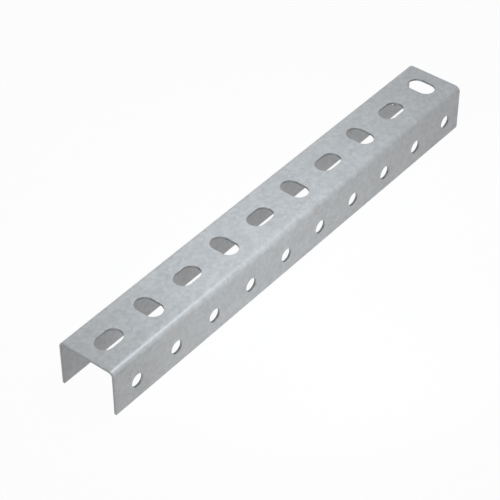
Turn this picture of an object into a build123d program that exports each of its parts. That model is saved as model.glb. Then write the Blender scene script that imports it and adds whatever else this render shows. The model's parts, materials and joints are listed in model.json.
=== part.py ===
from build123d import *
import os

# Mounting profile: a perforated channel bent from one strip of galvanised steel sheet.
# All sizes are in millimetres. +X runs along the profile, +Y across its web and +Z up.
# It rests web upwards on the edges of its two flanges, and the origin is on the
# resting plane, below the middle of the length and of the width.

# Section of the channel
LENGTH = 300.0
WIDTH = 36.6  # over the outer faces of the two flanges
HEIGHT = 29.0  # from the flange edges to the top of the web
SHEET = 1.5
BEND_RADIUS = 2.0  # on the inside of each bend

# Punching, which keeps one pitch along the web and both flanges
PITCH = 30.0
FIRST_HOLE = 16.5  # from the near end, at -X, to the first row of holes
END_LAND = 4.0  # least sheet left between a whole hole and the far end

# Slots in the web, along and across it by turns
SLOT_LENGTH = 17.0
SLOT_WIDTH = 11.0

# Round holes in the flanges, in line across the channel
FLANGE_HOLE_DIAMETER = 8.2
FLANGE_HOLE_HEIGHT = 11.5  # from the flange edges to the hole centres


def row_positions():
    """X of each row of holes: as many whole rows as the cut length holds."""
    last = LENGTH - END_LAND - SLOT_LENGTH / 2
    rows = int((last - FIRST_HOLE) // PITCH) + 1
    return [FIRST_HOLE - LENGTH / 2 + PITCH * row for row in range(rows)]


def channel_section():
    """The bent sheet cut across: an outer and an inner outline with the same bend centres."""
    outer_radius = BEND_RADIUS + SHEET
    outer = Rectangle(WIDTH, HEIGHT, align=(Align.CENTER, Align.MIN))
    outer = fillet(outer.vertices().group_by(Axis.Y)[-1], outer_radius)
    inner = Rectangle(WIDTH - 2 * SHEET, HEIGHT - SHEET, align=(Align.CENTER, Align.MIN))
    inner = fillet(inner.vertices().group_by(Axis.Y)[-1], BEND_RADIUS)
    return outer - inner


def channel():
    """The unpunched channel, carried along X and centred on the origin."""
    section = Plane.YZ * channel_section()
    return extrude(section, amount=LENGTH / 2, both=True)


def web_slots():
    """Cutters for the web: odd rows run along the channel, even rows across it."""
    along = SlotOverall(SLOT_LENGTH, SLOT_WIDTH)
    across = Rot(0, 0, 90) * along
    web = Plane.XY.offset(HEIGHT - SHEET)
    slots = Sketch() + [
        Pos(x, 0) * (across if row % 2 else along)
        for row, x in enumerate(row_positions())
    ]
    return extrude(web * slots, amount=SHEET)


def flange_holes():
    """Cutters for both flanges: one straight bar through each facing pair of holes."""
    circle = Circle(FLANGE_HOLE_DIAMETER / 2)
    holes = Sketch() + [Pos(x, FLANGE_HOLE_HEIGHT) * circle for x in row_positions()]
    return extrude(Plane.XZ * holes, amount=WIDTH / 2, both=True)


def mounting_profile():
    """The finished profile, one piece of sheet."""
    return channel() - web_slots() - flange_holes()


os.makedirs("parts", exist_ok=True)
export_step(mounting_profile().solid(), "parts/mounting_profile.step")
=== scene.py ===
"""Dresses the mounting profile, a short perforated channel bent from galvanised steel sheet.

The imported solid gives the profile's box and its fixings. The same bent sheet is made here as one
closed surface, with the small rounded edges that punching and shearing leave. A map of the flat
strip is wrapped round its bends, so that the zinc coating's pattern runs on from flange to web.
Lengths are in metres, and MM turns a size in millimetres into metres.
"""

import json
import logging
import math
from dataclasses import dataclass, field
from enum import Enum

import bpy
import numpy as np
from mathutils import Euler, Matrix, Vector


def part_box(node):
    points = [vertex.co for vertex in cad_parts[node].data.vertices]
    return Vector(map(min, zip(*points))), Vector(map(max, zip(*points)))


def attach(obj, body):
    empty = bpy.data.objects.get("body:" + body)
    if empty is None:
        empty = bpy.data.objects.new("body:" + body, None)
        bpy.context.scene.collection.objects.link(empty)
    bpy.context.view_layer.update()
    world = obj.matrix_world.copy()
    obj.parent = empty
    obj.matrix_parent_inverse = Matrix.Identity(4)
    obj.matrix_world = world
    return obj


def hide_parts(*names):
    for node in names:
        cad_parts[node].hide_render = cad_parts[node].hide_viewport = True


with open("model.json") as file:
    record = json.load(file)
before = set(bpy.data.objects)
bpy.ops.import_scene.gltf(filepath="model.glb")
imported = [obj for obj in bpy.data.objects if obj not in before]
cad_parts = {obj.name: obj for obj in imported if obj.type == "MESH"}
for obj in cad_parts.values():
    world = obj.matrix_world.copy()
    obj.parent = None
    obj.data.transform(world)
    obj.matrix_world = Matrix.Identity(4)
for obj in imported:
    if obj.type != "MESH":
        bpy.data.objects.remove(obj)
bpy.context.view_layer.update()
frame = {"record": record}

LOG = logging.getLogger("mounting_profile")
MM = 0.001
NODE = "mounting_profile"
SHEET_MAP = "sheet"  # name of the mesh's map, which the finishes read

WHITE = "#FFFFFF"
OVERHEAD = "#EDF8FF"  # the lamps overhead, a trace cooler than white

# Numbers of a Mix node's sockets, because those for numbers and for colours share their names
SHARE, FIRST, SECOND, FIRST_COLOUR, SECOND_COLOUR = 0, 2, 3, 6, 7
MIXED_COLOUR = 2


def linear(hex_colour: str) -> tuple[float, float, float, float]:
    """Turns an sRGB hex colour into linear red, green and blue with full alpha.

    The curve is the sRGB standard's: a straight line near black, and a power of 2.4 above it.

    Args:
        hex_colour: Six hex digits with a leading hash, such as "#AEB5B9".

    Returns:
        The linear colour as Blender's sockets take it.
    """
    values = [int(hex_colour[at : at + 2], 16) / 255 for at in (1, 3, 5)]
    return (*[v / 12.92 if v <= 0.04045 else ((v + 0.055) / 1.055) ** 2.4 for v in values], 1.0)


def fixing(name: str) -> dict:
    """Looks up one of the profile's stated fixings.

    Args:
        name: The fixing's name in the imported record.

    Returns:
        The record's entry, with its place in metres and its sizes in millimetres.
    """
    return next(each for each in frame["record"]["mounts"] if each["name"] == name)


def looking(place: tuple[float, float, float], aim: tuple[float, float, float]) -> Euler:
    """Works out how a lamp or camera is turned, to look from its place at a point.

    Args:
        place: Where it stands.
        aim: The point that it looks at.

    Returns:
        The turn, with the top of its view upwards.
    """
    return (Vector(aim) - Vector(place)).to_track_quat("-Z", "Y").to_euler()


class Run(Enum):
    """Which way the long axis of a punched hole runs."""

    ALONG = "along the profile"
    ACROSS = "across the profile"
    ROUND = "the same all round"


class Band(Enum):
    """The bands of the flat strip, in their order across it."""

    LEFT_FLANGE = 0
    LEFT_BEND = 1
    WEB = 2
    RIGHT_BEND = 3
    RIGHT_FLANGE = 4


class Skin(Enum):
    """Order of the finishes on the sheet's mesh."""

    ZINC = 0
    CUT = 1


@dataclass(frozen=True)
class BentStrip:
    """The bent sheet, described as a flat strip and the way it wraps round two bends.

    A place on the strip is (x, s): x along the profile, and s across the strip, from the edge of
    the left flange at +Y up, over the web and down to the edge of the right flange at -Y. Depth
    counts into the sheet from its outer face.
    """

    length: float
    width: float
    height: float
    sheet: float
    bend_radius: float

    @property
    def outer_radius(self) -> float:
        """Radius of the outer face of a bend."""
        return self.bend_radius + self.sheet

    @property
    def flange(self) -> float:
        """Flat height of a flange, from its edge to where its bend starts."""
        return self.height - self.outer_radius

    @property
    def bend(self) -> float:
        """Length of strip in one bend, along the middle of the sheet."""
        return math.pi / 2 * (self.bend_radius + self.sheet / 2)

    @property
    def web(self) -> float:
        """Flat width of the web between its bends."""
        return self.width - 2 * self.outer_radius

    @property
    def span(self) -> float:
        """Whole width of the flat strip."""
        return 2 * self.flange + 2 * self.bend + self.web

    def turn(self, s: np.ndarray) -> np.ndarray:
        """Works out how far the strip has turned, a straight climb of a right angle over each bend.

        Args:
            s: Places across the strip.

        Returns:
            The angle at each place, in radians.
        """
        first = np.clip((s - self.flange) / self.bend, 0.0, 1.0)
        second = np.clip((s - self.flange - self.bend - self.web) / self.bend, 0.0, 1.0)
        return math.pi / 2 * (first + second)

    def place(self, x: np.ndarray, s: np.ndarray, depth: np.ndarray) -> np.ndarray:
        """Wraps places on the strip into the profile's own frame.

        The point stands at the outer radius less its depth from the bend's centre, in the
        direction of the turned angle. That centre moves up with s on the left flange, across on
        the web and down on the right flange.

        Args:
            x: Places along the profile.
            s: Places across the strip.
            depth: Depths into the sheet.

        Returns:
            The points, with one more axis for X, Y and Z.
        """
        up = np.clip(s, 0.0, self.flange)
        across = np.clip(s - self.flange - self.bend, 0.0, self.web)
        down = np.clip(s - self.flange - 2 * self.bend - self.web, 0.0, self.flange)
        angle, radius = self.turn(s), self.outer_radius - depth
        y = self.width / 2 - self.outer_radius - across + radius * np.cos(angle)
        z = up - down + radius * np.sin(angle)
        return np.stack(np.broadcast_arrays(x, y, z), -1)

    def directions(self, s: np.ndarray) -> tuple[np.ndarray, np.ndarray]:
        """Gives the directions out of the sheet and across the strip.

        Args:
            s: Places across the strip.

        Returns:
            Unit vectors out of the outer face, then unit vectors towards growing s.
        """
        cos, sin, none = np.cos(self.turn(s)), np.sin(self.turn(s)), np.zeros_like(s)
        return np.stack((none, cos, sin), -1), np.stack((none, -sin, cos), -1)


@dataclass(frozen=True)
class CutEdge:
    """The edge that punching, slitting or shearing leaves, from the outer face to the inner one.

    The tool draws the outer face down into a shallow rollover, cuts a straight wall and breaks
    out with a small edge on the inner face.
    """

    sheet: float
    roll_in: float = 0.24 * MM  # how far the rollover reaches into the face
    roll_down: float = 0.12 * MM
    break_out: float = 0.08 * MM
    roll_steps: int = 5
    wall_steps: int = 2
    break_steps: int = 2

    def profile(self) -> tuple[np.ndarray, np.ndarray, int]:
        """Works out the edge's profile as a quarter ellipse, a straight wall and a quarter circle.

        Returns:
            Offset into the face and depth of each point, its unit normal as a share towards the
            opening and a share out of the outer face, and the point at which the bare wall starts.
        """
        roll = np.linspace(0.0, math.pi / 2, self.roll_steps + 1)
        wall = np.linspace(self.roll_down, self.sheet - self.break_out, self.wall_steps + 1)[1:-1]
        out = np.linspace(0.0, math.pi / 2, self.break_steps + 1)
        offset = np.concatenate(
            (self.roll_in * (1 - np.sin(roll)), 0 * wall, self.break_out * (1 - np.cos(out)))
        )
        depth = np.concatenate(
            (self.roll_down * (1 - np.cos(roll)), wall, self.sheet - self.break_out * (1 - np.sin(out)))
        )
        lean = np.concatenate((self.roll_down * np.sin(roll), 0 * wall + 1, np.cos(out)))
        rise = np.concatenate((self.roll_in * np.cos(roll), 0 * wall, -np.sin(out)))
        normal = np.stack((lean, rise), -1) / np.hypot(lean, rise)[:, None]
        return np.stack((offset, depth), -1), normal, self.roll_steps


@dataclass(frozen=True)
class PunchedHole:
    """One punched hole, placed by its middle on the flat strip."""

    x: float
    s: float
    length: float
    width: float
    run: Run

    def outline(self, side: int) -> tuple[np.ndarray, np.ndarray]:
        """Goes round the hole anticlockwise on the strip, from its lower left shoulder.

        A round hole is a circle from 225 degrees. A slot is the same circle, with its middle moved
        to either end of a straight line: in the quarters below and above the line, a third of the
        points turn 45 degrees, a third run straight and a third turn 45 degrees more. A slot across
        the profile is the one along it, turned by a right angle.

        Args:
            side: Points to each quarter of the outline.

        Returns:
            The points (x, s), and the unit directions from the hole into the sheet.
        """
        quarter = np.arange(4 * side) / side
        half = (self.length - self.width) / 2
        if self.run is Run.ROUND:
            angle, shift = 225 + 90 * quarter, np.zeros_like(quarter)
        else:
            knots = (0, 1 / 3, 2 / 3, 1, 2, 7 / 3, 8 / 3, 3, 4)
            angle = np.interp(quarter, knots, (225, 270, 270, 315, 405, 450, 450, 495, 585))
            shift = half * np.interp(quarter, knots, (-1, -1, 1, 1, 1, 1, -1, -1, -1))
        away = np.stack((np.cos(np.radians(angle)), np.sin(np.radians(angle))), -1)
        points = self.width / 2 * away
        points[:, 0] += shift
        if self.run is Run.ACROSS:
            away, points = (np.roll(each[:, ::-1] * (-1, 1), side, axis=0) for each in (away, points))
        return points + (self.x, self.s), away


@dataclass
class SheetSurface:
    """Gathers grids of points into one closed mesh with exact normals and a map of the strip."""

    strip: BentStrip
    cell: float = 0.001 * MM  # points in one cell of this size become one
    cell_shift: float = 0.3  # of a cell, so that no whole or half size falls on a cell's border
    points: list[np.ndarray] = field(default_factory=list)
    normals: list[np.ndarray] = field(default_factory=list)
    sheet_map: list[np.ndarray] = field(default_factory=list)
    quads: list[np.ndarray] = field(default_factory=list)
    finishes: list[np.ndarray] = field(default_factory=list)
    count: int = 0

    def add_grid(
        self,
        points: np.ndarray,
        normals: np.ndarray,
        places: np.ndarray,
        finish: Skin,
        flip: bool,
        ring: bool,
    ) -> None:
        """Adds a grid of points as four-sided faces.

        Args:
            points: Rows and columns of points.
            normals: The unit normal at each point.
            places: Each point's place on the sheet map.
            finish: Which finish the grid takes.
            flip: Whether the faces go round the other way.
            ring: Whether the last column joins the first.
        """
        rows, columns = points.shape[:2]
        at = self.count + np.arange(rows * columns).reshape(rows, columns)
        if ring:
            at = np.concatenate((at, at[:, :1]), axis=1)
        corners = [at[:-1, :-1], at[:-1, 1:], at[1:, 1:], at[1:, :-1]]
        quads = np.stack(corners[::-1] if flip else corners, -1).reshape(-1, 4)
        self.points.append(points.reshape(-1, 3))
        self.normals.append(normals.reshape(-1, 3))
        self.sheet_map.append(places.reshape(-1, 2))
        self.quads.append(quads)
        self.finishes.append(np.full(len(quads), finish.value))
        self.count += rows * columns

    def add_face(self, places: np.ndarray, depth: float, ring: bool, flip: bool) -> None:
        """Adds a grid that lies on the outer or the inner face of the sheet.

        The inner face has a stretch of the map of its own, two strips further on.

        Args:
            places: Rows and columns of (x, s).
            depth: 0 for the outer face, and the sheet's thickness for the inner one.
            ring: Whether the last column joins the first.
            flip: Whether the grid goes round the other way, seen from outside.
        """
        x, s = places[..., 0], places[..., 1]
        out, _ = self.strip.directions(s)
        inner = depth > 0
        shown = places + (0.0, 2 * self.strip.span if inner else 0.0)
        points = self.strip.place(x, s, np.full_like(x, depth))
        self.add_grid(points, -out if inner else out, shown, Skin.ZINC, flip != inner, ring)

    def add_edge(self, path: np.ndarray, away: np.ndarray, edge: CutEdge, ring: bool) -> None:
        """Carries the edge's profile along a path on the strip.

        Each point of the profile moves from the path into the sheet by its offset, as far as the
        mitres at the strip's corners allow, and goes down by its depth. The rollover keeps its
        zinc, and the wall is bare. The wall's map counts along the path and down the wall.

        Args:
            path: Points (x, s), with the sheet on the right of the way that it goes.
            away: Unit directions from the opening into the sheet.
            edge: The edge's profile.
            ring: Whether the path closes.
        """
        profile, lean, bare_from = edge.profile()
        offset = profile[:, :1, None]
        limit = np.array((self.strip.length / 2, self.strip.span))
        low, high = np.array((-limit[0], 0.0)) + offset, limit - offset
        places = np.clip(path[None] + offset * away[None], low, high)
        x, s = places[..., 0], places[..., 1]
        out, across = self.strip.directions(s)
        into = away[None, :, :1] * (1.0, 0.0, 0.0) + away[None, :, 1:] * across
        normals = lean[:, :1, None] * -into + lean[:, 1:, None] * out
        points = self.strip.place(x, s, profile[:, 1:] + 0 * x)
        steps = np.hypot(*np.diff(path, axis=0, prepend=path[:1]).T)
        gone = np.cumsum(steps)[None] + 0 * x
        wall = np.stack((gone, profile[:, 1:] + 0 * x), -1)
        for rows, shown, finish in (
            (slice(None, bare_from + 1), places, Skin.ZINC),
            (slice(bare_from, None), wall, Skin.CUT),
        ):
            self.add_grid(points[rows], normals[rows], shown[rows], finish, True, ring)

    def object(self, name: str) -> bpy.types.Object:
        """Joins the grids where they meet and makes the mesh.

        Points in the same cell become one. Each corner of a face keeps its exact normal, so flats
        stay flat and small edges stay crisp.

        Args:
            name: The new piece's name.

        Returns:
            The piece, linked to the scene.
        """
        points, quads = np.concatenate(self.points), np.concatenate(self.quads)
        cells = np.floor(points / self.cell + self.cell_shift).astype(np.int64)
        _, kept, joined = np.unique(cells, axis=0, return_index=True, return_inverse=True)
        corners = joined.reshape(-1)[quads].reshape(-1)
        mesh = bpy.data.meshes.new(name)
        mesh.vertices.add(len(kept))
        mesh.vertices.foreach_set("co", points[kept].astype(np.float32).reshape(-1))
        mesh.loops.add(len(corners))
        mesh.loops.foreach_set("vertex_index", corners.astype(np.int32))
        mesh.polygons.add(len(quads))
        mesh.polygons.foreach_set("loop_start", np.arange(0, len(corners), 4, dtype=np.int32))
        mesh.polygons.foreach_set("material_index", np.concatenate(self.finishes).astype(np.int32))
        mesh.polygons.foreach_set("use_smooth", np.ones(len(quads), bool))
        mesh.update(calc_edges=True)
        shown = np.concatenate(self.sheet_map)[quads].reshape(-1, 2)
        mesh.uv_layers.new(name=SHEET_MAP).data.foreach_set("uv", shown.astype(np.float32).reshape(-1))
        normals = np.concatenate(self.normals)[quads].reshape(-1, 3)
        mesh.normals_split_custom_set(normals.astype(np.float32).tolist())
        mesh.validate()
        made = bpy.data.objects.new(name, mesh)
        bpy.context.scene.collection.objects.link(made)
        return made


def add(
    tree: bpy.types.NodeTree, kind: str, settings: dict | None = None, links: dict | None = None
) -> bpy.types.Node:
    """Adds one shader node with its settings and what feeds it.

    Args:
        tree: The material's node tree.
        kind: The node's type, without the leading "ShaderNode".
        settings: Values by attribute name, or by input name or number.
        links: Output sockets by input name or number.

    Returns:
        The new node.
    """
    node = tree.nodes.new("ShaderNode" + kind)
    for key, value in (settings or {}).items():
        if isinstance(key, str) and hasattr(node, key):
            setattr(node, key, value)
        else:
            node.inputs[key].default_value = value
    for key, socket in (links or {}).items():
        tree.links.new(socket, node.inputs[key])
    return node


def fresh_material(name: str) -> tuple[bpy.types.Material, bpy.types.NodeTree]:
    """Starts a material with an empty node tree.

    Args:
        name: The finish's name.

    Returns:
        The material and its tree.
    """
    made = bpy.data.materials.new(name)
    made.use_nodes = True
    made.node_tree.nodes.clear()
    return made, made.node_tree


def sheet_millimetres(tree: bpy.types.NodeTree) -> bpy.types.NodeSocket:
    """Reads the sheet's map in millimetres, so that a pattern's scale is one over its size.

    Args:
        tree: The tree to add the nodes to.

    Returns:
        The place on the map.
    """
    flat = add(tree, "UVMap", {"uv_map": SHEET_MAP})
    return add(
        tree, "VectorMath", {"operation": "SCALE", "Scale": 1 / MM}, {0: flat.outputs[0]}
    ).outputs[0]


@dataclass(frozen=True)
class ZincCoat:
    """Hot-dip galvanised strip: a thin zinc coat with minimised crystals, passivated.

    To the eye it is a pale satin grey. Small crystals show as faint light and dark patches, under
    clouds of a centimetre or two where the coat cooled unevenly. Each crystal lies at a slightly
    different tilt, so a highlight breaks up over them. Each bend has stretched its zinc into fine
    cracks along the profile, which stand out in relief and are painted a trace lighter than the
    flats, partly for the crazed zinc and partly as a painted highlight along the bends.
    """

    dark: str = "#979798"
    light: str = "#DBDCDD"

    # Sizes in millimetres
    crystal: float = 2.2  # across one crystal
    feather: float = 1.5  # of the wobble along a crystal's edge
    mottle: float = 3.2  # across one patch of dark or pale crystals
    cloud: float = 17.0  # across one cloud
    grain: float = 0.7  # drawn as coarse as the picture shows; the coat's own is about 0.1
    crack: float = 0.45  # between the cracks along a bend, drawn coarse as well
    crack_length: float = 9.0
    crazed: float = 3.4  # of strip to each side of a bend's middle
    relief: float = 0.02  # height of the grain and the cracks

    # Shares of the shade from dark to light, each against the patterns before it
    mottle_share: float = 0.66
    cloud_share: float = 0.3
    grain_share: float = 0.25

    # Finer layers that a noise pattern has over its first
    soft_detail: float = 1.0  # in the wobble and the grain
    crack_detail: float = 2.0
    patch_detail: float = 3.0  # in the mottle and the clouds
    mottle_roughness: float = 0.6  # strength of each finer layer of the mottle, beside the last

    crack_and_sheen_light: float = 0.06  # how much lighter a crack is, as a share of the shade; partly a painted highlight along the bends
    crack_rise: float = 0.6  # height of a crack, beside the grain's
    relief_strength: float = 0.3
    tilt: float = 0.04  # range of a crystal's lean along each axis, beside a normal of 1
    roughness: float = 0.35
    roughness_spread: float = 0.08  # by which a pale patch is rougher, and a dark one smoother
    metallic: float = 0.4

    def crystals(self, tree: bpy.types.NodeTree, mm: bpy.types.NodeSocket) -> bpy.types.NodeSocket:
        """Draws cells with feathered borders, each with a random colour of its own.

        Args:
            tree: The tree to add the nodes to.
            mm: The place on the map.

        Returns:
            The colour of the crystal.
        """
        wobble = add(
            tree, "TexNoise", {"Scale": 1 / self.feather, "Detail": self.soft_detail}, {"Vector": mm}
        )
        moved = add(
            tree, "VectorMath", {"operation": "MULTIPLY_ADD", 1: (self.feather,) * 3},
            {0: wobble.outputs["Color"], 2: mm},
        )
        cells = add(tree, "TexVoronoi", {"Scale": 1 / self.crystal}, {"Vector": moved.outputs[0]})
        return cells.outputs["Color"]

    def patches(
        self, tree: bpy.types.NodeTree, mm: bpy.types.NodeSocket, crystals: bpy.types.NodeSocket
    ) -> bpy.types.NodeSocket:
        """Gathers single crystals into dark and pale patches.

        Args:
            tree: The tree to add the nodes to.
            mm: The place on the map.
            crystals: The colour of the crystal.

        Returns:
            The shade of the patch.
        """
        tone = add(tree, "SeparateColor", {}, {0: crystals})
        drawn = {
            "Scale": 1 / self.mottle,
            "Detail": self.patch_detail,
            "Roughness": self.mottle_roughness,
        }
        mottle = add(tree, "TexNoise", drawn, {"Vector": mm})
        return add(
            tree, "Mix", {"data_type": "FLOAT", SHARE: self.mottle_share},
            {FIRST: tone.outputs[0], SECOND: mottle.outputs[0]},
        ).outputs[0]

    def crazing_and_sheen(
        self, tree: bpy.types.NodeTree, mm: bpy.types.NodeSocket, bends: tuple[float, float]
    ) -> bpy.types.NodeSocket:
        """Draws fine cracks along the profile, on the bends alone. They raise the relief and lighten the
        colour, and that lightening is partly a painted highlight along the bends.

        Args:
            tree: The tree to add the nodes to.
            mm: The place on the map.
            bends: Places of the middles of the two bends across the strip, in millimetres.

        Returns:
            The strength of the cracks, 0 away from the bends.
        """
        pulled = (1 / self.crack_length, 1 / self.crack, 1.0)
        drawn = add(tree, "VectorMath", {"operation": "MULTIPLY", 1: pulled}, {0: mm})
        cracks = add(
            tree, "TexNoise", {"Scale": 1.0, "Detail": self.crack_detail}, {"Vector": drawn.outputs[0]}
        )
        place = add(tree, "SeparateXYZ", {}, {0: mm})
        left, right = (
            add(tree, "Math", {"operation": "COMPARE", 1: middle, 2: self.crazed}, {0: place.outputs[1]})
            for middle in bends
        )
        bent = add(tree, "Math", {"operation": "ADD"}, {0: left.outputs[0], 1: right.outputs[0]})
        return add(
            tree, "Math", {"operation": "MULTIPLY"}, {0: bent.outputs[0], 1: cracks.outputs[0]}
        ).outputs[0]

    def facing(
        self, tree: bpy.types.NodeTree, crystals: bpy.types.NodeSocket, height: bpy.types.NodeSocket
    ) -> bpy.types.NodeSocket:
        """Turns the surface by its relief and by each crystal's own tilt.

        Args:
            tree: The tree to add the nodes to.
            crystals: The colour of the crystal, which gives its tilt.
            height: The relief's height.

        Returns:
            The direction that the surface faces.
        """
        relief = add(
            tree, "Bump", {"Strength": self.relief_strength, "Distance": self.relief * MM},
            {"Height": height},
        )
        lean = add(
            tree, "VectorMath",
            {"operation": "MULTIPLY_ADD", 1: (self.tilt,) * 3, 2: (-self.tilt / 2,) * 3},
            {0: crystals},
        )
        leaning = add(
            tree, "VectorMath", {"operation": "ADD"}, {0: relief.outputs[0], 1: lean.outputs[0]}
        )
        return add(tree, "VectorMath", {"operation": "NORMALIZE"}, {0: leaning.outputs[0]}).outputs[0]

    def material(self, bends: tuple[float, float]) -> bpy.types.Material:
        """Builds the finish on the map of the flat strip.

        Args:
            bends: Places of the middles of the two bends across the strip, in millimetres.

        Returns:
            The finished material.
        """
        made, tree = fresh_material("galvanised_zinc_coat")
        mm = sheet_millimetres(tree)
        crystals = self.crystals(tree, mm)
        patches = self.patches(tree, mm, crystals)
        crazing_and_sheen = self.crazing_and_sheen(tree, mm, bends)
        clouds = add(
            tree, "TexNoise", {"Scale": 1 / self.cloud, "Detail": self.patch_detail}, {"Vector": mm}
        )
        grain = add(
            tree, "TexNoise", {"Scale": 1 / self.grain, "Detail": self.soft_detail}, {"Vector": mm}
        )
        cooled = add(
            tree, "Mix", {"data_type": "FLOAT", SHARE: self.cloud_share},
            {FIRST: patches, SECOND: clouds.outputs[0]},
        )
        shade = add(
            tree, "Mix", {"data_type": "FLOAT", SHARE: self.grain_share},
            {FIRST: cooled.outputs[0], SECOND: grain.outputs[0]},
        )
        # Painted highlight in part: the cracks lighten the colour along the bends, for the crazed zinc
        # and as a painted sheen
        cracked_and_sheened_shade = add(
            tree, "Math", {"operation": "MULTIPLY_ADD", 1: self.crack_and_sheen_light},
            {0: crazing_and_sheen, 2: shade.outputs[0]},
        )
        colour = add(
            tree, "Mix",
            {"data_type": "RGBA", FIRST_COLOUR: linear(self.dark), SECOND_COLOUR: linear(self.light)},
            {SHARE: cracked_and_sheened_shade.outputs[0]},
        )
        smooth, rough = self.roughness - self.roughness_spread, self.roughness + self.roughness_spread
        roughness = add(tree, "MapRange", {"To Min": smooth, "To Max": rough}, {0: patches})
        height = add(
            tree, "Math", {"operation": "MULTIPLY_ADD", 1: self.crack_rise},
            {0: crazing_and_sheen, 2: grain.outputs[0]},
        )
        skin = add(
            tree, "BsdfPrincipled", {"Metallic": self.metallic},
            {
                "Base Color": colour.outputs[MIXED_COLOUR],
                "Roughness": roughness.outputs[0],
                "Normal": self.facing(tree, crystals, height.outputs[0]),
            },
        )
        add(tree, "OutputMaterial", {}, {"Surface": skin.outputs[0]})
        return made


@dataclass(frozen=True)
class CutSteel:
    """Punched and sheared mild steel: a burnished band below the rollover, then a duller torn band.

    The punch smears a little zinc down the wall, so that it is only a shade darker than the faces.
    Fine lines run through the sheet where the punch dragged.
    """

    burnished: str = "#B0B2B3"
    torn: str = "#A0A2A3"
    drag: float = 0.35  # millimetres between the lines that the punch drags down the wall
    stretch: float = 0.15  # how fast a line changes down the wall, beside how fast along it
    band: float = 0.95  # millimetres from the outer face to the end of the burnished band
    ragged: float = 0.5  # millimetres that this end wanders
    line_detail: float = 2.0  # finer layers that the lines have over their first
    line_share: float = 0.35  # of the lines in the colour, against the two bands
    relief: float = 0.02  # millimetres that the lines stand out
    relief_strength: float = 0.4
    burnished_roughness: float = 0.4
    torn_roughness: float = 0.65
    metallic: float = 0.7

    def material(self) -> bpy.types.Material:
        """Builds the finish on the map's two directions, along the cut and down it.

        Returns:
            The finished material.
        """
        made, tree = fresh_material("cut_steel_edge")
        mm = sheet_millimetres(tree)
        drawn = add(tree, "VectorMath", {"operation": "MULTIPLY", 1: (1.0, self.stretch, 1.0)}, {0: mm})
        lines = add(
            tree, "TexNoise", {"Scale": 1 / self.drag, "Detail": self.line_detail},
            {"Vector": drawn.outputs[0]},
        )
        down = add(tree, "SeparateXYZ", {}, {0: mm})
        wandering = add(
            tree, "Math", {"operation": "MULTIPLY_ADD", 1: self.ragged},
            {0: lines.outputs[0], 2: down.outputs[1]},
        )
        broken = add(
            tree, "MapRange", {"From Min": self.band, "From Max": self.band + self.ragged},
            {0: wandering.outputs[0]},
        )
        tones = add(
            tree, "Mix", {"data_type": "FLOAT", SHARE: self.line_share},
            {FIRST: broken.outputs[0], SECOND: lines.outputs[0]},
        )
        colour = add(
            tree, "Mix",
            {"data_type": "RGBA", FIRST_COLOUR: linear(self.burnished), SECOND_COLOUR: linear(self.torn)},
            {SHARE: tones.outputs[0]},
        )
        roughness = add(
            tree, "MapRange", {"To Min": self.burnished_roughness, "To Max": self.torn_roughness},
            {0: broken.outputs[0]},
        )
        facing = add(
            tree, "Bump", {"Strength": self.relief_strength, "Distance": self.relief * MM},
            {"Height": lines.outputs[0]},
        )
        skin = add(
            tree, "BsdfPrincipled", {"Metallic": self.metallic},
            {
                "Base Color": colour.outputs[MIXED_COLOUR],
                "Roughness": roughness.outputs[0],
                "Normal": facing.outputs[0],
            },
        )
        add(tree, "OutputMaterial", {}, {"Surface": skin.outputs[0]})
        return made


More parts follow.
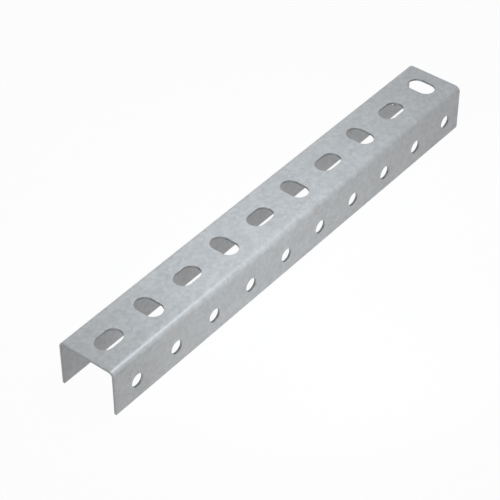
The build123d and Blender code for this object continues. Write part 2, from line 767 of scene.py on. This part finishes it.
@dataclass
class MountingProfile:
    """The perforated channel: one strip of sheet with slots in its web and holes in its flanges."""

    sheet: float = 1.5 * MM
    bend_radius: float = 2.0 * MM
    pitch: float = 30.0 * MM
    side: int = 24  # points along each side of a panel round a hole
    rings: int = 3  # steps from a hole's edge to the border of its panel
    bend_steps: int = 12
    strip: BentStrip = field(init=False)
    edge: CutEdge = field(init=False)
    rows: np.ndarray = field(init=False)  # places of the rows of holes along the profile
    hole_height: float = field(init=False)  # from the flange edges to the middles of the holes
    hole_width: float = field(init=False)
    slot_length: float = field(init=False)
    slot_width: float = field(init=False)

    def __post_init__(self) -> None:
        """Reads the overall size from the solid, and the punching from its fixings."""
        low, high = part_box(NODE)
        size = high - low
        self.strip = BentStrip(size.x, size.y, size.z, self.sheet, self.bend_radius)
        self.edge = CutEdge(self.sheet)
        first, last = fixing("flange_hole_near"), fixing("flange_hole_far")
        rows = round((last["pos_m"][0] - first["pos_m"][0]) / self.pitch) + 1
        self.rows = np.linspace(first["pos_m"][0], last["pos_m"][0], rows)
        self.hole_height = first["pos_m"][2]
        self.hole_width = 2 * first["dims"]["r_mm"] * MM
        slot = fixing("web_long_slots_outer")["dims"]
        self.slot_length, self.slot_width = slot["slot_length_mm"] * MM, 2 * slot["hole_r_mm"] * MM

    def columns(self, inset: float) -> list[np.ndarray]:
        """Divides the length into one run of points for each row of holes.

        Args:
            inset: How far the face stays back from the cut ends.

        Returns:
            The places along the profile, from one border between two rows to the next.
        """
        middles = (self.rows[1:] + self.rows[:-1]) / 2
        end = self.strip.length / 2
        borders = np.concatenate(((-end,), middles, (end,)))
        runs = np.linspace(borders[:-1], borders[1:], self.side + 1, axis=1)
        return list(np.clip(runs, inset - end, end - inset))

    def bands(self, inset: float) -> dict[Band, np.ndarray]:
        """Divides the strip's width into left flange, bend, web, bend and right flange.

        Args:
            inset: How far the face stays back from the flange edges.

        Returns:
            The places across the strip in each band.
        """
        strip = self.strip
        borders = np.cumsum((0.0, strip.flange, strip.bend, strip.web, strip.bend, strip.flange))
        steps = (self.side, self.bend_steps, self.side, self.bend_steps, self.side)
        runs = [np.linspace(a, b, n + 1) for a, b, n in zip(borders[:-1], borders[1:], steps)]
        return {band: np.clip(run, inset, strip.span - inset) for band, run in zip(Band, runs)}

    def holes(self) -> list[tuple[int, Band, PunchedHole]]:
        """Places a slot in the web and a round hole in each flange, row by row.

        Returns:
            The number of each hole's row, counted from 0 at the near end, its band and the hole.
        """
        span, found = self.strip.span, []
        round_hole = (self.hole_width, self.hole_width, Run.ROUND)
        for row, x in enumerate(self.rows):
            slot = (self.slot_length, self.slot_width, Run.ACROSS if row % 2 else Run.ALONG)
            found.append((row, Band.LEFT_FLANGE, PunchedHole(x, self.hole_height, *round_hole)))
            found.append((row, Band.WEB, PunchedHole(x, span / 2, *slot)))
            found.append((row, Band.RIGHT_FLANGE, PunchedHole(x, span - self.hole_height, *round_hole)))
        return found

    def panel(
        self, hole: PunchedHole, along: np.ndarray, across: np.ndarray, inset: float
    ) -> np.ndarray:
        """Fills the panel between a hole and its border with rings.

        Each ring is a straight blend from the hole's outline, moved into the sheet by the inset,
        to the border's own points, which the next panel shares.

        Args:
            hole: The hole in the middle.
            along: Places of the border's points along the profile.
            across: Places of the border's points across the strip.
            inset: Width of the hole's rounded edge on this face.

        Returns:
            The rings of places (x, s), from the hole outwards.
        """
        outline, away = hole.outline(self.side)
        border = np.concatenate((
            np.stack((along[:-1], np.full(self.side, across[0])), -1),
            np.stack((np.full(self.side, along[-1]), across[:-1]), -1),
            np.stack((along[:0:-1], np.full(self.side, across[-1])), -1),
            np.stack((np.full(self.side, along[0]), across[:0:-1]), -1),
        ))
        share = np.linspace(0.0, 1.0, self.rings + 1)[:, None, None]
        return (1 - share) * (outline + inset * away) + share * border

    def add_faces(self, surface: SheetSurface, depth: float, inset: float) -> None:
        """Adds the outer or the inner face: a panel round each hole, and the two bends.

        Args:
            surface: The surface to add to.
            depth: 0 for the outer face, and the sheet's thickness for the inner one.
            inset: Width of the rounded edge on this face.
        """
        columns, bands = self.columns(inset), self.bands(inset)
        for row, band, hole in self.holes():
            rings = self.panel(hole, columns[row], bands[band], inset)
            surface.add_face(rings, depth, ring=True, flip=False)
        for along in columns:
            for band in (Band.LEFT_BEND, Band.RIGHT_BEND):
                grid = np.stack(np.meshgrid(along, bands[band]), -1)
                surface.add_face(grid, depth, ring=False, flip=True)

    def add_outline(self, surface: SheetSurface) -> None:
        """Adds the cut edges round the whole strip: its two ends and its two long edges.

        Args:
            surface: The surface to add to.
        """
        end, far = self.strip.length / 2, self.strip.span
        along = np.concatenate([each[:-1] for each in self.columns(0.0)] + [[end]])
        across = np.concatenate([each[:-1] for each in self.bands(0.0).values()] + [[far]])
        sides = (
            (np.stack((np.full_like(across, -end), across), -1), (1.0, 0.0)),
            (np.stack((along, np.full_like(along, far)), -1), (0.0, -1.0)),
            (np.stack((np.full_like(across, end), across[::-1]), -1), (-1.0, 0.0)),
            (np.stack((along[::-1], np.zeros_like(along)), -1), (0.0, 1.0)),
        )
        for path, away in sides:
            surface.add_edge(path, np.broadcast_to(away, path.shape), self.edge, ring=False)

    def build(self) -> bpy.types.Object:
        """Makes the sheet, dresses it and puts it in the solid's place.

        Returns:
            The finished piece.
        """
        surface = SheetSurface(self.strip)
        self.add_faces(surface, 0.0, self.edge.roll_in)
        self.add_faces(surface, self.sheet, self.edge.break_out)
        for _, _, hole in self.holes():
            outline, away = hole.outline(self.side)
            surface.add_edge(outline, away, self.edge, ring=True)
        self.add_outline(surface)
        piece = surface.object("bent_sheet")
        middle = (self.strip.flange + self.strip.bend / 2) / MM
        bends = (middle, self.strip.span / MM - middle)
        piece.data.materials.append(ZincCoat().material(bends))
        piece.data.materials.append(CutSteel().material())
        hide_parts(NODE)
        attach(piece, "root")
        return piece


@dataclass(frozen=True)
class Softbox:
    """A square soft lamp that looks from its place at a point inside the channel."""

    name: str
    place: tuple[float, float, float]
    size: float
    watts: float
    tint: str = WHITE
    glints: bool = True  # whether the metal shows it as a highlight
    aim: tuple[float, float, float] = (0.0, 0.0, 0.02)

    def build(self) -> bpy.types.Object:
        """Makes the lamp, which the camera never sees itself.

        Returns:
            The lamp, linked to the scene.
        """
        lamp = bpy.data.lights.new(self.name, "AREA")
        lamp.size, lamp.energy = self.size, self.watts
        lamp.color = linear(self.tint)[:3]
        made = bpy.data.objects.new(self.name, lamp)
        made.location = self.place
        made.rotation_euler = looking(self.place, self.aim)
        made.visible_camera = False
        made.visible_glossy = self.glints
        bpy.context.scene.collection.objects.link(made)
        return made


@dataclass(frozen=True)
class PictureCamera:
    """A long lens above the near end, on the side of the right flange."""

    place: tuple[float, float, float] = (-0.5926, -0.4601, 0.6601)
    aim: tuple[float, float, float] = (-0.0378, -0.01275, 0.0290)
    focal_length: float = 1822.4  # in pixels of the square picture
    picture: float = 500.0  # pixels to a side
    sensor: float = 36.0  # millimetres
    nearest: float = 0.05  # what lies between these two distances is seen
    furthest: float = 50.0

    def build(self) -> bpy.types.Object:
        """Makes the camera and gives it to the scene.

        Returns:
            The camera, linked to the scene.
        """
        data = bpy.data.cameras.new("picture_camera")
        data.sensor_width = self.sensor
        data.lens = self.sensor * self.focal_length / self.picture
        data.clip_start, data.clip_end = self.nearest, self.furthest
        made = bpy.data.objects.new("picture_camera", data)
        made.location = self.place
        made.rotation_euler = looking(self.place, self.aim)
        bpy.context.scene.collection.objects.link(made)
        bpy.context.scene.camera = made
        return made


@dataclass(frozen=True)
class Studio:
    """The pale floor, the white room and the soft lamps.

    The camera and the metal see the floor and the room as plain white, and the floor keeps a share
    of its own shade there, with the profile's shadow.
    """

    floor_size: float = 12.0
    floor_colour: str = "#F2F2F2"
    shown_white: float = 0.97  # share of plain white in the floor that the camera and the metal see
    lamps: tuple[Softbox, ...] = (
        Softbox("overhead_middle", (-0.03, -0.08, 0.26), 0.20, 0.189, OVERHEAD),
        Softbox("overhead_near_fill", (-0.08, -0.03, 0.18), 0.10, 0.133, OVERHEAD, glints=False),
        Softbox("overhead_middle_fill", (0.00, 0.00, 0.18), 0.10, 0.051, OVERHEAD, glints=False),
        Softbox("overhead_far_fill", (0.11, 0.00, 0.18), 0.10, 0.080, OVERHEAD, glints=False),
        Softbox("front", (-0.06, -0.15, 0.06), 0.08, 0.010),
        Softbox("front_fill", (-0.06, -0.12, 0.08), 0.10, 0.042, glints=False),
    )

    def shown_plain(self, tree: bpy.types.NodeTree) -> bpy.types.NodeSocket:
        """Tells the rays that show the background itself from those that carry its light.

        Args:
            tree: The tree to add the nodes to.

        Returns:
            A socket that is 1 for a camera, mirror or glass ray, and 0 for any other.
        """
        ray = add(tree, "LightPath").outputs
        seen = add(
            tree, "Math", {"operation": "MAXIMUM"}, {0: ray["Is Camera Ray"], 1: ray["Is Glossy Ray"]}
        )
        return add(
            tree, "Math", {"operation": "MAXIMUM"}, {0: seen.outputs[0], 1: ray["Is Transmission Ray"]}
        ).outputs[0]

    def floor(self) -> bpy.types.Object:
        """Lays the floor in the plane that the profile rests on.

        Returns:
            The floor, linked to the scene.
        """
        half = self.floor_size / 2
        corners = [(-half, -half, 0), (half, -half, 0), (half, half, 0), (-half, half, 0)]
        mesh = bpy.data.meshes.new("studio_floor")
        mesh.from_pydata(corners, [], [(0, 1, 2, 3)])
        made = bpy.data.objects.new("studio_floor", mesh)
        bpy.context.scene.collection.objects.link(made)
        material, tree = fresh_material("pale_studio_floor")
        share = add(
            tree, "Math", {"operation": "MULTIPLY", 1: self.shown_white}, {0: self.shown_plain(tree)}
        )
        matt = add(tree, "BsdfDiffuse", {"Color": linear(self.floor_colour)})
        white = add(tree, "Emission", {"Color": linear(WHITE), "Strength": 1.0})
        mixed = add(
            tree, "MixShader", {}, {0: share.outputs[0], 1: matt.outputs[0], 2: white.outputs[0]}
        )
        add(tree, "OutputMaterial", {}, {"Surface": mixed.outputs[0]})
        mesh.materials.append(material)
        return made

    def room(self) -> None:
        """Sets the room, white to the camera and in the metal's reflections and dark to all else."""
        world = bpy.data.worlds.new("studio_room")
        world.use_nodes = True
        tree = world.node_tree
        tree.nodes.clear()
        white = add(
            tree, "Background", {"Color": linear(WHITE)}, {"Strength": self.shown_plain(tree)}
        )
        add(tree, "OutputWorld", {}, {"Surface": white.outputs[0]})
        bpy.context.scene.world = world

    def build(self) -> None:
        """Sets up the whole studio."""
        self.room()
        self.floor()
        for lamp in self.lamps:
            lamp.build()
        bpy.context.scene.view_settings.view_transform = "Standard"


def main() -> None:
    """Builds the camera, the studio and the profile, and reports the piece."""
    logging.basicConfig(level=logging.INFO, format="%(name)s: %(message)s")
    PictureCamera().build()
    Studio().build()
    piece = MountingProfile().build()
    faces, finishes = len(piece.data.polygons), len(piece.data.materials)
    LOG.info("%s: %d faces, in %d finishes", piece.name, faces, finishes)


if __name__ == "__main__":
    main()
